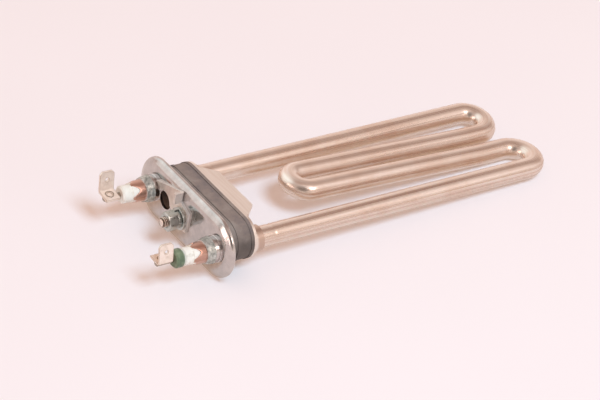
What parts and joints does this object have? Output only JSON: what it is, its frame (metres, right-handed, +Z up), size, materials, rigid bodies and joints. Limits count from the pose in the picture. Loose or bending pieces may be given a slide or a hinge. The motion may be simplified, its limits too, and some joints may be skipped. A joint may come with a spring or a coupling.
{
  "type": "tubular heating element",
  "caption": "Electric water heater for a washing machine's tub: a folded steel tube carried by an oval flange with a rubber seal, a clamp stud and blade terminals.",
  "frame": {"origin": "centre of the flange's rim plane, which seats on the outer face of the tub's wall, on the clamp stud's axis", "axes": "+X along the straight legs into the tub, away from the terminals; +Y across the flange towards the side of the sensor hole; +Z up, square to the plane of the folded tube"},
  "size_m": [0.1901, 0.0656, 0.0256],
  "materials": {
    "sheath_steel": "annealed stainless steel with a warm oxide tint",
    "flange_steel": "bright zinc plating",
    "gasket_rubber": "moulded, dull",
    "clamp_steel": "rolled stainless sheet",
    "hardware_steel": "zinc plating",
    "earth_steel": "tinned",
    "terminal_tin": "tinned, slightly worn",
    "pin_steel": "drawn nickel-plated wire",
    "white_ceramic": "fired, unglazed",
    "green_ceramic": "coloured glaze",
    "seal_compound": "cast silicone",
    "magnesia": "packed powder",
    "coil_wire": "resistance wire"
  },
  "bodies": {
    "root": {"sheath_tube": "sheath_steel", "magnesia_filling": "magnesia", "heating_coil": "coil_wire", "terminal_pin_far": "pin_steel", "terminal_pin_near": "pin_steel", "end_seal_far": "seal_compound", "end_seal_near": "seal_compound", "insulator_far": "white_ceramic", "insulator_near": "white_ceramic", "insulator_cap_near": "green_ceramic", "terminal_tab_far": "terminal_tin", "terminal_tab_near": "terminal_tin", "flange_plate": "flange_steel", "rubber_gasket": "gasket_rubber", "clamp_plate": "clamp_steel", "clamp_stud": "hardware_steel", "earth_tab": "earth_steel", "plain_washer": "hardware_steel", "spring_washer": "hardware_steel", "clamp_nut": "hardware_steel"}
  },
  "joints": []
}
